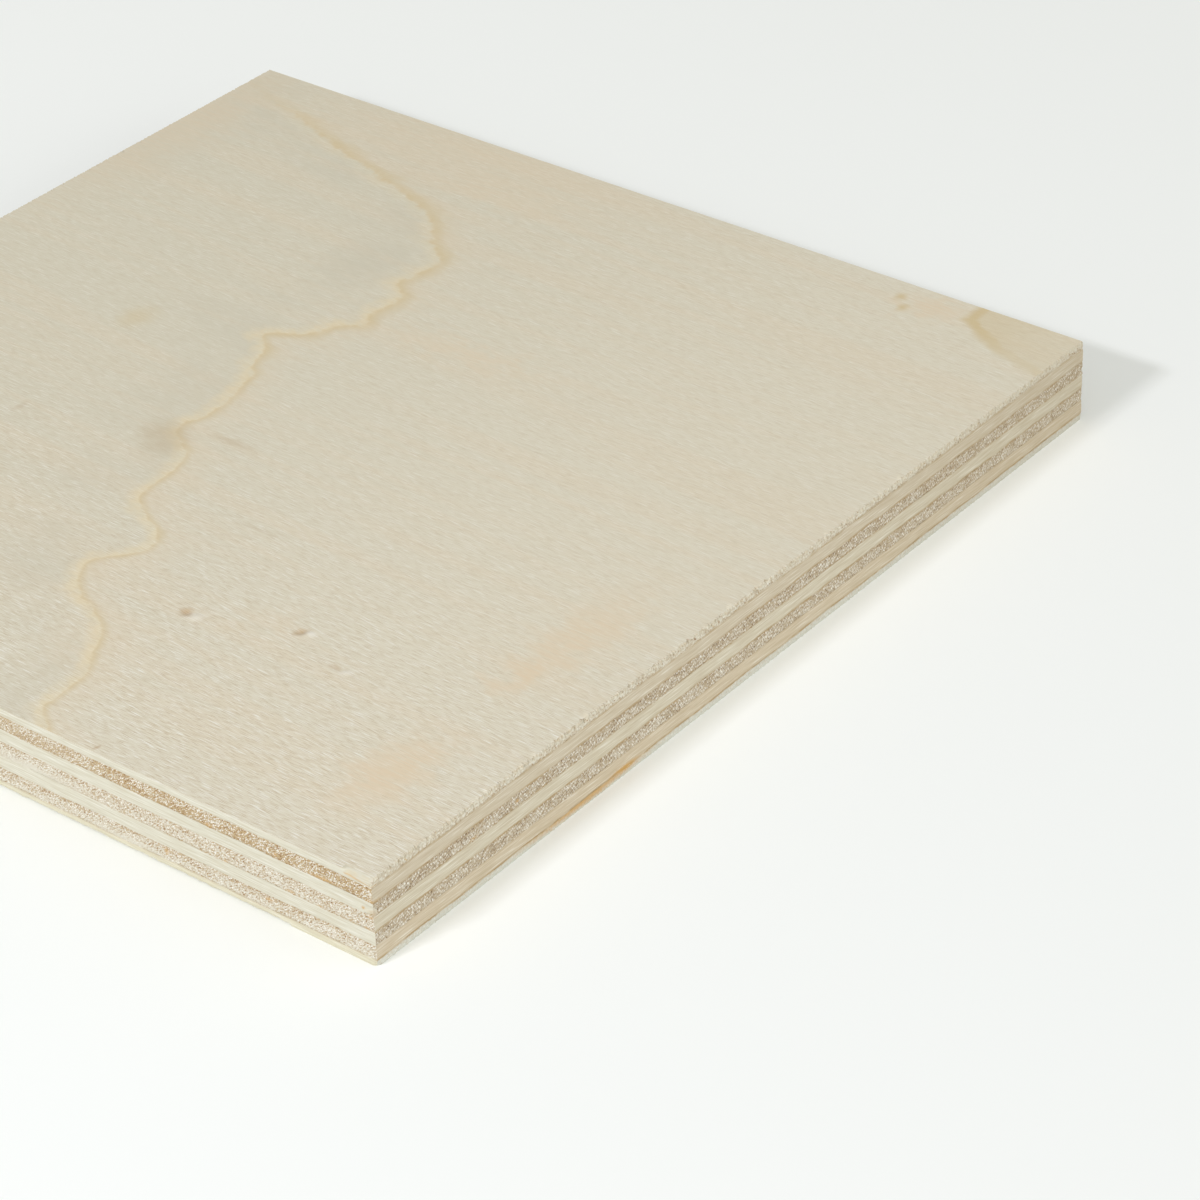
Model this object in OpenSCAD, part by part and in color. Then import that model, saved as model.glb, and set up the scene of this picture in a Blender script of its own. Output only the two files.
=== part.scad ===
// Seven-ply plywood sheet: a square sample, lying flat on its back veneer.
// X runs along the grain of the face, Z up, and the origin is under the middle of the sheet.

/* [Sheet] */
// Length of the sheet, along the grain of its face
sheet_length = 150; // [80:1:2440]
// Width of the sheet, across the grain of its face
sheet_width = 150; // [80:1:1220]

/* [Plies] */
// Thickness of the sanded face veneer
face_thickness = 1.1; // [0.6:0.05:3]
// Thickness of each crossband, next to the face and next to the back
crossband_thickness = 2.15; // [0.8:0.05:4]
// Thickness of each long-grain core ply
long_core_thickness = 1.9; // [0.8:0.05:4]
// Thickness of the cross-grain ply in the middle
centre_thickness = 2.25; // [0.8:0.05:4]
// Thickness of the sanded back veneer
back_thickness = 1.05; // [0.6:0.05:3]

/* [Corner damage] */
// Length of front edge that the face veneer has lost at the near corner
face_chip_length = 4; // [1:0.5:20]
// How far that chip reaches in over the face
face_chip_reach = 0.6; // [0.2:0.1:4]
// Height of veneer edge left standing below the chip
face_chip_foot = 0.35; // [0.1:0.05:0.5]
// Length of front edge that the upper core ply has lost at the near corner
core_chip_length = 1.6; // [0.5:0.1:10]
// How far that chip runs along the side of the upper core ply
core_chip_reach = 0.7; // [0.2:0.1:10]

/* [Hidden] */

// Height of each glue line above the floor, from the back veneer up
lower_crossband_z = back_thickness;
lower_long_core_z = lower_crossband_z + crossband_thickness;
centre_z = lower_long_core_z + long_core_thickness;
upper_long_core_z = centre_z + centre_thickness;
upper_crossband_z = upper_long_core_z + long_core_thickness;
face_z = upper_crossband_z + crossband_thickness;

// The near corner, where the front edge meets the right one
corner_x = sheet_length / 2;
corner_y = -sheet_width / 2;
// How far a cutting solid runs past the wood that it cuts
overcut = 1;

// One rectangular veneer of the lay-up, with its lower face on the glue line at z
module veneer(z, thickness) {
    translate([-sheet_length / 2, -sheet_width / 2, z])
        cube([sheet_length, sheet_width, thickness]);
}

// Wedge that splits off along the grain of the face, from the near corner back along the front edge
module face_chip() {
    rise = face_thickness - face_chip_foot;
    past = overcut / face_chip_reach;
    translate([corner_x - face_chip_length, corner_y, face_z + face_chip_foot])
        rotate([90, 0, 90])
            linear_extrude(face_chip_length + overcut)
                polygon([
                    [-overcut, -past * rise],
                    [face_chip_reach + overcut, rise + past * rise],
                    [-overcut, rise + past * rise]
                ]);
}

// Splinter that breaks out of the upright corner of the upper core ply, through its whole thickness
module core_chip() {
    past = overcut / core_chip_length;
    translate([corner_x, corner_y, upper_long_core_z - overcut])
        linear_extrude(long_core_thickness + 2 * overcut)
            polygon([
                [-core_chip_length - overcut, -past * core_chip_reach],
                [overcut, core_chip_reach + past * core_chip_reach],
                [overcut, -past * core_chip_reach]
            ]);
}

module face_veneer() {
    color("#dbd0b8")
        difference() {
            veneer(face_z, face_thickness);
            face_chip();
        }
}

module upper_crossband() {
    color("#cdb898") veneer(upper_crossband_z, crossband_thickness);
}

module upper_long_core() {
    color("#e4dbc4")
        difference() {
            veneer(upper_long_core_z, long_core_thickness);
            core_chip();
        }
}

module centre_crossband() {
    color("#d6c6a8") veneer(centre_z, centre_thickness);
}

module lower_long_core() {
    color("#e4dbc4") veneer(lower_long_core_z, long_core_thickness);
}

module lower_crossband() {
    color("#d3bf9e") veneer(lower_crossband_z, crossband_thickness);
}

module back_veneer() {
    color("#dfd2b0") veneer(0, back_thickness);
}

face_veneer();
upper_crossband();
upper_long_core();
centre_crossband();
lower_long_core();
lower_crossband();
back_veneer();
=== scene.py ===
"""A square sample of seven-ply plywood: its veneers, sawn edges, splinters and a plain studio stage."""

import math

import bmesh
import bpy
from mathutils import Matrix, Vector


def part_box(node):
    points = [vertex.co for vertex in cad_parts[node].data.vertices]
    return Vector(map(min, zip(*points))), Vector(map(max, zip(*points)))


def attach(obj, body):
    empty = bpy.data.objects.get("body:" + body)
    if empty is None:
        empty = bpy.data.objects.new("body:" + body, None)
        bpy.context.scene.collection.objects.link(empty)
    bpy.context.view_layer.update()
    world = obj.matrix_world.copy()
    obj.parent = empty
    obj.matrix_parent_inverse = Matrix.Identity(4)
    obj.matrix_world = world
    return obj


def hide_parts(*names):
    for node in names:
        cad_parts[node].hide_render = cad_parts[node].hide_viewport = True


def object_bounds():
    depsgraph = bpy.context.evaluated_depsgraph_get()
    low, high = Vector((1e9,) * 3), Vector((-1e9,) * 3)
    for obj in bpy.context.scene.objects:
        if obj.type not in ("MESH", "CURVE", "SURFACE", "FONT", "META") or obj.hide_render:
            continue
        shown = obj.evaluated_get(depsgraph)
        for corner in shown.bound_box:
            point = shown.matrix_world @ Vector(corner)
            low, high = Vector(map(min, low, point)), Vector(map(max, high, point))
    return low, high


bl_info = {
    "name": "Plywood sheet",
    "version": (1, 0, 0),
    "blender": (4, 5, 0),
    "location": "View3D > Sidebar > Plywood",
    "description": "Makes a sawn sample of plywood, veneer by veneer, with its grain, splinters and wear",
    "category": "Object",
}

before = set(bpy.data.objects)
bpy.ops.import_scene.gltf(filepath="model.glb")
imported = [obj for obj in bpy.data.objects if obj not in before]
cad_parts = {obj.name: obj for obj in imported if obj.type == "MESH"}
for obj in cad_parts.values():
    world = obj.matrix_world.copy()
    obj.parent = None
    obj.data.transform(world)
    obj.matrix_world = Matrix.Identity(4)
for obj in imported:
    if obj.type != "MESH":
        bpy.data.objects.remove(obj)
CAD_LOW, CAD_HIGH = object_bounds()

MM = 0.001
PER_MM = 1 / MM
BODY = "root"
HALF_LENGTH = CAD_HIGH.x
HALF_WIDTH = CAD_HIGH.y
SHEET_TOP = CAD_HIGH.z
TOP = SHEET_TOP * PER_MM

# Veneers whose fibres run across the sheet, along Y; the others run along X
CROSSBANDS = ("upper_crossband", "centre_crossband", "lower_crossband")
INNER_PLIES = (
    "upper_crossband", "upper_long_core", "centre_crossband", "lower_long_core", "lower_crossband",
)
# Steps from one ply to the next in the seeds of its colours and of its relief
COLOUR_SEED_STEP = 13.0
RELIEF_SEED_STEP = 40.0
# Faces that meet at less than this angle are shaded as one rounded surface
SMOOTH_ANGLE = math.radians(50)

# The golden growth line that wanders over the face, from its rear edge to its front one, in mm
GROWTH_LINE = (
    (-82, 72), (-67.5, 67), (-62, 65.8), (-55.5, 63.2), (-51, 62), (-44.5, 59.4), (-40.5, 58.7),
    (-35.5, 56.6), (-31.5, 55.5), (-25, 53), (-20.5, 49.8), (-17.5, 46), (-13.5, 43.3), (-12.5, 39.2),
    (-13.2, 36.4), (-13.4, 34), (-10.6, 31.4), (-10.2, 29), (-10.8, 25.4), (-9.6, 22.4), (-12.1, 20.1),
    (-13.3, 17.5), (-14, 15.8), (-17, 13.7), (-19.4, 11.7), (-16.4, 9), (-15.3, 5.2), (-13.1, 2.3),
    (-12.3, -1), (-11.3, -5.2), (-11, -9.3), (-12, -12.5), (-10.7, -15), (-7, -17.5), (-5, -22),
    (-4.5, -28), (-3, -30.5), (1, -33), (4, -34.5), (5.5, -38), (4.5, -40.5), (1.5, -44.5), (2.5, -47.5),
    (5.5, -50.5), (10.5, -53), (13.5, -55), (17.5, -61), (19, -64), (19.5, -69.5), (20, -72), (22.5, -74),
)
# The second, shorter line, a hook round the corner where the right edge meets the rear one: a point on
# each of its sides and the direction of the corner from there, in mm
CORNER_SIDES = (((58.1, 73), (1, 0.02)), ((58.3, 70.6), (0.51, 0.86)), ((66.4, 65.8), (0.27, 0.963)))

# Dents in the face and, with a negative depth, the lips raised beside them: middle, radius and depth, in mm
DENTS = (
    (19.8, -46.2, 0.9, 0.2), (21.4, -46.4, 1.1, -0.12), (34.5, -41.2, 0.8, 0.18), (35.7, -41.0, 0.9, -0.12),
    (43.2, -44.8, 0.6, 0.06), (45.0, -44.8, 0.9, -0.1),
)
# The wedge broken off the face at the near corner: its length along the front arris, its reach across the
# face and the height of the wood left under it, in mm
CHIP_LENGTH = 4.0
CHIP_REACH = 0.6
CHIP_FOOT = 0.35
# Length and width of the corner of the face that has fine points for that break, in mm
FINE_LENGTH = 7
FINE_WIDTH = 3

# Clouds beside the growth line, stains, small marks of the face, and painted highlights and shade at its
# dents: middle, reach and strength, in mm
SHADE_SPOTS = (
    ((-21, 36, TOP), (10, 14, 9), 0.6), ((-21, -1, TOP), (8, 7, 9), 0.35),
    ((-74, 58, TOP), (16, 42, 9), 0.5),
)
WARM_SPOTS = (
    ((63.6, -23, TOP), (7, 21, 9), 0.75), ((63.2, -32, TOP), (5, 9, 9), 0.95),
    ((63, -57, TOP), (7, 14, 9), 0.95), ((-20, 63, TOP), (28, 7, 9), 0.4),
    ((8, 24, TOP), (22, 4.5, 9), 0.5), ((31, -42, TOP), (8, 6, 9), 0.3),
    ((14, -60, TOP), (8, 9, 9), 0.25), ((-30, 72, TOP), (55, 15, 9), 0.4),
    ((-74, 55, TOP), (12, 45, 9), 0.45), ((53, 71, TOP), (8, 5, 9), 0.75),
)
YELLOW_SPOTS = (
    ((-37.6, 5.4, TOP), (3.8, 5, 9), 0.4), ((47.4, 71.2, TOP), (1.4, 1.6, 9), 0.8),
    ((49.2, 68.7, TOP), (1.3, 1.5, 9), 0.8),
)
SMUDGES = (
    ((-12.5, -15.8, TOP), (6, 5, 9), 0.5), ((-10.6, -18, TOP), (4.8, 4.6, 9), 0.5),
    ((-3.5, -12.3, TOP), (6, 1.2, 9), 0.4), ((14, -26.6, TOP), (5, 0.7, 9), 0.35),
)
# Brown marks; those in the three dents are partly stains and partly painted shade on the dents' dark sides
MARKS_AND_DENT_SHADE = (
    ((30.7, -74.2, TOP), (0.4, 0.9, 9), 0.5), ((19.6, -46.2, TOP), (1.4, 1.6, 9), 0.62),
    ((34.5, -41.2, TOP), (1.1, 1.4, 9), 0.58), ((43, -44.8, TOP), (1.6, 0.6, 9), 0.35),
    ((-33.6, -21.4, TOP), (1, 2.4, 9), 0.2),
)
# Painted highlights on the lit flanks of the lips raised beside the dents
PAINTED_LIP_HIGHLIGHTS = (
    ((21.5, -46.4, TOP), (1.5, 1.4, 9), 0.35), ((35.8, -41, TOP), (1.2, 1.1, 9), 0.5),
    ((45, -44.8, TOP), (1.1, 0.9, 9), 0.35),
)

# How each ply looks: colours of its two kinds of sawn wall, size of its pores in mm, how torn it is at its
# lower and upper border, and how strongly glue shows there on the front wall and on the right one
LOOKS = {
    "face_veneer": {
        "long": "pale", "long_streak": "pale_streak",
        "end": "cut_cream", "end_mid": "cut_sand", "end_pore": "pore_brown",
        "grain": 0.18, "streak": 0.8, "torn_low": 0.75, "torn_high": 0.6, "dots": 0.7, "fleck": 0.5,
        "glue_low": (0.1, 0.45), "glue_high": (0, 0),
    },
    "upper_crossband": {
        "long": "tan_pink", "long_streak": "tan_streak",
        "end": "cut_cream", "end_mid": "cut_ochre", "end_pore": "pore_brown",
        "grain": 0.16, "streak": 0.4, "torn_low": 1.1, "torn_high": 0.95, "dots": 1.0, "fleck": 1.0,
        "glue_low": (0.6, 0.75), "glue_high": (0.25, 0.5),
    },
    "upper_long_core": {
        "long": "pale", "long_streak": "pale_streak",
        "end": "cut_tan", "end_mid": "cut_brown", "end_pore": "pore_grey",
        "grain": 0.16, "streak": 0.8, "torn_low": 0.8, "torn_high": 1.05, "dots": 1.0, "fleck": 0.95,
        "glue_low": (0, 0.6), "glue_high": (0, 0.5),
    },
    "centre_crossband": {
        "long": "tan_green", "long_streak": "tan_streak",
        "end": "cut_cream", "end_mid": "cut_gold", "end_pore": "pore_brown",
        "grain": 0.16, "streak": 0.4, "torn_low": 0.55, "torn_high": 0.7, "dots": 1.0, "fleck": 0.9,
        "glue_low": (0.5, 0.9), "glue_high": (0.3, 0.25),
    },
    "lower_long_core": {
        "long": "pale", "long_streak": "pale_streak",
        "end": "cut_tan", "end_mid": "cut_brown", "end_pore": "pore_grey",
        "grain": 0.155, "streak": 0.8, "torn_low": 0.75, "torn_high": 0.95, "dots": 1.0, "fleck": 0.95,
        "glue_low": (0, 0.25), "glue_high": (0, 0.6),
    },
    "lower_crossband": {
        "long": "tan_warm", "long_streak": "tan_streak",
        "end": "cut_cream", "end_mid": "cut_gold", "end_pore": "pore_brown",
        "grain": 0.16, "streak": 0.4, "torn_low": 0.3, "torn_high": 0.9, "dots": 1.0, "fleck": 0.9,
        "glue_low": (0.5, 1.0), "glue_high": (0.35, 0.2),
    },
    "back_veneer": {
        "long": "back", "long_streak": "pale_streak",
        "end": "back_end", "end_mid": "cut_tan", "end_pore": "pore_grey",
        "grain": 0.18, "streak": 0.6, "torn_low": 0.2, "torn_high": 0.4, "dots": 0.2, "fleck": 0.4,
        "glue_low": (0, 0), "glue_high": (0.2, 0.5),
    },
}
# Resin that bled at the sawn walls: middle, reach and strength, in mm
WALL_STAINS = {
    "upper_crossband": (
        ((67.5, -75, 9.55), (3.6, 9, 0.4), 0.6), ((60.1, -75, 9.85), (0.45, 9, 0.4), 0.8),
        ((49.5, -75, 9.6), (1.2, 9, 0.4), 0.6), ((74.6, -75, 9.4), (1, 2, 0.4), 0.5),
    ),
    "upper_long_core": (
        ((75, -57, 7.7), (9, 1.2, 0.4), 0.5), ((75, -48.8, 8.2), (9, 0.5, 0.4), 0.6),
        ((73.5, -75, 8.1), (0.45, 9, 0.35), 0.9), ((74.3, -75, 7.65), (0.9, 2, 0.3), 0.55),
    ),
    "centre_crossband": (
        ((62, -75, 5.35), (1, 9, 0.3), 0.6), ((66.5, -75, 5.2), (0.7, 9, 0.25), 0.6),
        ((73.7, -75, 5.2), (0.9, 9, 0.3), 0.7), ((51.8, -75, 5.25), (0.6, 9, 0.3), 0.6),
        ((74.5, -75, 7.1), (0.7, 2, 0.35), 0.6),
    ),
    "lower_crossband": (
        ((75, -28.5, 1.2), (9, 4.5, 0.65), 1.0), ((58.4, -75, 2.55), (1, 9, 0.3), 0.7),
        ((42, -75, 2.5), (0.6, 9, 0.9), 0.6),
    ),
    "back_veneer": (((75, -28, 0.95), (9, 4, 0.55), 0.95), ((75, -36, 0.9), (9, 18, 1), 0.85)),
}
# Sounder, paler wood in the torn walls: middle, reach and strength, in mm
PALE_SPOTS = {
    "upper_crossband": (((22, -75, 10.3), (15, 9, 3), 0.2),),
    "centre_crossband": (((20, -75, 5.3), (15, 9, 1.5), 0.9),),
    "lower_crossband": (((36, -75, 1.4), (9, 9, 0.9), 0.7),),
}


def srgb(red, green, blue):
    """The linear colour of a swatch read as 0 to 255 sRGB values."""
    def linear(value):
        share = value / 255
        return share / 12.92 if share <= 0.04045 else ((share + 0.055) / 1.055) ** 2.4

    return (linear(red), linear(green), linear(blue))


def colour_property(name, description, swatch):
    return bpy.props.FloatVectorProperty(
        name=name, description=description, subtype="COLOR", size=3, min=0, max=1, default=srgb(*swatch)
    )


def length_property(name, description, default):
    return bpy.props.FloatProperty(
        name=name, description=description, subtype="DISTANCE", unit="LENGTH",
        min=0, default=default, precision=5,
    )


def level_property(name, description, default):
    return bpy.props.FloatProperty(name=name, description=description, min=0, default=default)


def place_property(name, description, default):
    return bpy.props.FloatVectorProperty(
        name=name, description=description, subtype="XYZ", unit="LENGTH", size=3, default=default
    )


def angle_property(name, description, degrees):
    return bpy.props.FloatProperty(
        name=name, description=description, subtype="ANGLE", unit="ROTATION", default=math.radians(degrees)
    )


class PLYWOOD_PG_sheet(bpy.types.PropertyGroup):
    """Sizes of the sawn surface and its wear."""

    edge_step: length_property("Edge step", "Spacing of the points along a sawn edge", 0.25 * MM)
    row_step: length_property("Row step", "Spacing of the points up a sawn edge", 0.2 * MM)
    face_step: length_property("Face step", "Spacing of the points over the face and the back", 1 * MM)
    cap_margin: length_property("Cap margin", "Width of the rim round a glued face", 0.1 * MM)
    end_depth: length_property("End-grain depth", "Roughness of fibres that the saw cut across", 0.13 * MM)
    long_depth: length_property("Long-grain depth", "Roughness of fibres that the saw ran along", 0.035 * MM)
    glue_wave: length_property("Glue wave", "How far a glue line strays up and down", 0.13 * MM)
    glue_recess: length_property("Glue recess", "How far the wood is crushed back at a glue line", 0.04 * MM)
    arris_wear: length_property("Arris wear", "How far the outer arrises are rubbed back", 0.09 * MM)
    fray_depth: length_property("Fray depth", "How far the face is torn back at its cut ends", 0.6 * MM)
    sliver_length: length_property("Sliver length", "Length of a torn sliver of the face", 0.75 * MM)
    sliver_width: length_property("Sliver width", "Width of a torn sliver of the face", 0.17 * MM)
    sliver_spacing: length_property("Sliver spacing", "Spacing of the slivers along a torn end", 0.9 * MM)


class PLYWOOD_PG_colours(bpy.types.PropertyGroup):
    """Colours of the wood."""

    face: colour_property("Face", "Sanded face veneer", (219, 212, 192))
    face_dull: colour_property("Face, dull", "Duller wood on the left of the face", (211, 205, 185))
    face_warm: colour_property("Face, warm", "Warm bands and stains in the face", (221, 203, 175))
    face_shade: colour_property("Face, shaded", "Dim clouding beside the growth line", (201, 195, 176))
    face_pore: colour_property("Face pore", "Fine open pores of the face", (190, 172, 142))
    # Brown of the small marks, also painted as shade in the dents
    mark_and_dent_shade: colour_property("Face mark", "Small brown marks of the face", (172, 138, 92))
    growth: colour_property("Growth line", "Golden wood of the growth line", (206, 186, 143))
    growth_light: colour_property("Growth line, light", "Cream wood left of the line", (228, 210, 170))
    pale: colour_property("Pale long grain", "Long grain of the pale plies", (211, 207, 189))
    pale_streak: colour_property("Pale streak", "Darker streaks of the pale plies", (198, 190, 167))
    tan_pink: colour_property("Pink tan", "Long grain of the upper crossband", (199, 187, 165))
    tan_green: colour_property("Green tan", "Long grain of the centre crossband", (203, 194, 173))
    tan_warm: colour_property("Warm tan", "Long grain of the lower crossband", (201, 187, 163))
    tan_streak: colour_property("Tan streak", "Darker streaks of the crossbands", (173, 154, 123))
    cut_cream: colour_property("Cream end grain", "Ground of the crossbands' cut fibres", (214, 209, 193))
    cut_tan: colour_property("Tan end grain", "Ground of the core plies' cut fibres", (203, 194, 177))
    cut_gold: colour_property("Golden end grain", "Torn fibres of the crossbands' cut ends", (186, 166, 134))
    cut_sand: colour_property("Sandy end grain", "Torn fibres of the face's cut ends", (197, 184, 162))
    cut_ochre: colour_property("Ochre end grain", "Torn ends of the upper crossband", (180, 155, 114))
    cut_brown: colour_property("Brown end grain", "Torn fibres of the core plies' cut ends", (175, 157, 130))
    pore_brown: colour_property("Brown pore", "Deep pores of the crossbands", (132, 92, 52))
    pore_grey: colour_property("Grey pore", "Deep pores of the core plies", (104, 82, 58))
    # Also painted as highlights on the lips beside the dents
    fleck: colour_property("Fleck", "Torn white fibres", (238, 236, 228))
    glue: colour_property("Glue", "Glue that shows at the ply borders", (166, 138, 92))
    back: colour_property("Back", "Back veneer", (214, 208, 183))
    back_end: colour_property("Back, cut end", "Cut ends of the back veneer", (207, 207, 197))
    # Painted shade: stands in for the light falling off towards the rear end of the right wall
    painted_far_shade: colour_property("Painted far shade", "Dimmer wood towards the rear of the right wall", (158, 143, 116))
    resin: colour_property("Resin", "Golden glue and resin in cracks and chips", (198, 156, 92))


class PLYWOOD_PG_stage(bpy.types.PropertyGroup):
    """The camera, the light and the floor."""

    camera_azimuth: angle_property("Camera azimuth", "Turn of the camera round the sheet", 39.29)
    camera_elevation: angle_property("Camera elevation", "How far the camera looks down", 33.33)
    camera_roll: angle_property("Camera roll", "Tilt of the camera about its line of sight", -2.28)
    camera_distance: length_property("Camera distance", "From the camera to its target on the floor", 0.5379)
    camera_target: place_property(
        "Camera target", "Point on the floor at the middle of the picture", (0.0484, 0.0006, 0)
    )
    camera_lens: bpy.props.FloatProperty(
        name="Lens", description="Focal length on a 36 mm sensor, in mm", min=1, default=123.57
    )
    sky_even: level_property("Even sky", "Light from all round", 0.262)
    sky_right: level_property("Right sky", "Light from the bright side of the room, on the right", 1.315)
    sky_front: level_property("Front sky", "Light from the front of the room", 0.335)
    sky_colour: colour_property("Sky colour", "Slightly warm light of the room", (255, 255, 251))
    key_level: level_property("Key level", "Light of the soft lamp, as a share of full light", 0.375)
    key_colour: colour_property("Key colour", "Slightly cool light of the lamp", (245, 246, 255))
    key_azimuth: angle_property("Key azimuth", "Turn of the lamp from straight in front, to the left", 8)
    key_elevation: angle_property("Key elevation", "Height of the lamp over the floor", 33.2)
    key_distance: length_property("Key distance", "From the lamp to the sheet", 1)
    key_width: length_property("Key width", "Width of the lamp", 0.16)
    key_height: length_property("Key height", "Height of the lamp", 0.06)
    floor_colour: colour_property("Floor", "Plain white floor", (248, 250, 248))
    floor_size: length_property("Floor size", "Side of the square floor", 20)


class Tree:
    """Short calls that add linked nodes to one shader or geometry tree."""

    def __init__(self, tree):
        self.nodes = tree.nodes
        self.links = tree.links

    def put(self, socket, value):
        """Links a socket to another, or sets its value."""
        if isinstance(value, bpy.types.NodeSocket):
            self.links.new(value, socket)
        else:
            socket.default_value = value

    def add(self, kind, inputs=None, **settings):
        node = self.nodes.new(kind)
        for name, value in settings.items():
            setattr(node, name, value)
        for key, value in (inputs or {}).items():
            self.put(node.inputs[key], value)
        return node

    def math(self, operation, *values, clamp=False):
        inputs = dict(enumerate(values))
        return self.add("ShaderNodeMath", inputs, operation=operation, use_clamp=clamp).outputs[0]

    def vector(self, operation, *values):
        inputs = dict(enumerate(values))
        return self.add("ShaderNodeVectorMath", inputs, operation=operation).outputs["Vector"]

    def scaled(self, vector, factor):
        node = self.add("ShaderNodeVectorMath", {0: vector, "Scale": factor}, operation="SCALE")
        return node.outputs["Vector"]

    def parts(self, vector):
        return tuple(self.add("ShaderNodeSeparateXYZ", {0: vector}).outputs)

    def joined(self, x, y, z):
        return self.add("ShaderNodeCombineXYZ", {0: x, 1: y, 2: z}).outputs[0]

    def step(self, value, start, end, low=0.0, high=1.0):
        """A smooth rise from low at start to high at end; start may be the larger."""
        inputs = {"Value": value, "From Min": start, "From Max": end, "To Min": low, "To Max": high}
        return self.add("ShaderNodeMapRange", inputs, interpolation_type="SMOOTHSTEP").outputs["Result"]

    def between(self, share, a, b):
        """A value that goes from a to b as share goes from 0 to 1."""
        return self.add("ShaderNodeMix", {0: share, 2: a, 3: b}, data_type="FLOAT").outputs[0]

    def mix(self, share, a, b):
        """A colour that goes from a to b as share goes from 0 to 1."""
        inputs = {0: share, 6: self.rgba(a), 7: self.rgba(b)}
        return self.add("ShaderNodeMix", inputs, data_type="RGBA").outputs[2]

    def rgba(self, colour):
        if isinstance(colour, bpy.types.NodeSocket):
            return colour
        return (*colour, 1)

    def noise(self, vector, detail=2.0, roughness=0.5, scale=1.0, dimensions="2D"):
        inputs = {"Vector": vector, "Scale": scale, "Detail": detail, "Roughness": roughness}
        return self.add("ShaderNodeTexNoise", inputs, noise_dimensions=dimensions).outputs["Fac"]

    def cells(self, vector, scale=1.0):
        """Distance to the nearest cell's middle, and that cell's own random value."""
        inputs = {"Vector": vector, "Scale": scale}
        node = self.add("ShaderNodeTexVoronoi", inputs, voronoi_dimensions="2D")
        return node.outputs["Distance"], self.parts(node.outputs["Color"])[0]

    def group(self, group, inputs):
        return self.add("ShaderNodeGroup", inputs, node_tree=group).outputs


def new_group(name, kind, inputs, outputs):
    """An empty node group with named sockets, and its input and output nodes."""
    group = bpy.data.node_groups.new(name, kind)
    for in_out, sockets in (("INPUT", inputs), ("OUTPUT", outputs)):
        for label, socket_type in sockets:
            group.interface.new_socket(label, in_out=in_out, socket_type=socket_type)
    tree = Tree(group)
    return group, tree, tree.add("NodeGroupInput").outputs, tree.add("NodeGroupOutput").inputs


FLOAT = "NodeSocketFloat"
VECTOR = "NodeSocketVector"
GEOMETRY = "NodeSocketGeometry"
SHADER = "ShaderNodeTree"


def shared_group(builder):
    """Builds a node group the first time that it is asked for."""
    made = {}

    def fetch():
        if "group" not in made:
            made["group"] = builder()
        return made["group"]

    return fetch


@shared_group
def grain_frame():
    """Places on the wood in mm: on the whole, on the sawn wall, and which walls cut the fibres."""
    outputs = (("Place", VECTOR), ("Wall", VECTOR), ("End", FLOAT), ("On x", FLOAT), ("Up", FLOAT))
    group, t, given, out = new_group("Grain frame", SHADER, (("Turn", FLOAT),), outputs)
    place = t.scaled(t.add("ShaderNodeTexCoord").outputs["Object"], PER_MM)
    x, y, z = t.parts(place)
    on_x = t.math("GREATER_THAN", t.math("ABSOLUTE", x), t.math("ABSOLUTE", y))
    along = t.between(on_x, x, y)
    across = t.between(on_x, y, x)
    side_shift, far_shift = 211.0, 97.0
    apart = t.math("MULTIPLY", t.math("LESS_THAN", across, 0.0), far_shift)
    apart = t.math("MULTIPLY_ADD", on_x, side_shift, apart)
    t.put(out["Place"], place)
    t.put(out["Wall"], t.joined(t.math("ADD", along, apart), z, 0.0))
    t.put(out["End"], t.math("ABSOLUTE", t.math("SUBTRACT", on_x, given["Turn"])))
    t.put(out["On x"], on_x)
    t.put(out["Up"], z)
    return group


@shared_group
def fibre_streaks():
    """Fibres that lie along a surface: fine streaks, broad bands and short open pores."""
    inputs = (("Flat", VECTOR), ("Length", FLOAT), ("Width", FLOAT), ("Seed", FLOAT))
    outputs = (("Streak", FLOAT), ("Band", FLOAT), ("Pore", FLOAT))
    group, t, given, out = new_group("Fibre streaks", SHADER, inputs, outputs)
    moved = t.vector("ADD", given["Flat"], t.joined(given["Seed"], given["Seed"], 0.0))
    wander = t.math("SUBTRACT", t.noise(t.vector("MULTIPLY", moved, (0.012, 0.05, 0.0)), 0.0), 0.5)
    wander_reach, stagger = 1.2, 7.3
    x, y, z = t.parts(moved)
    level = t.math("MULTIPLY_ADD", wander, wander_reach, y)
    bent = t.joined(t.math("MULTIPLY_ADD", level, stagger, x), level, 0.0)
    fibre = t.vector("DIVIDE", bent, t.joined(given["Length"], given["Width"], 1.0))
    t.put(out["Streak"], t.noise(fibre, 2.0, 0.6))
    t.put(out["Band"], t.noise(t.vector("MULTIPLY", bent, (0.012, 0.2, 0.0)), 3.0, 0.6))
    dash = t.noise(t.vector("MULTIPLY", fibre, (1.7, 2.1, 0.0)), 0.0)
    t.put(out["Pore"], t.step(dash, 0.6, 0.75))
    return group


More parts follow.
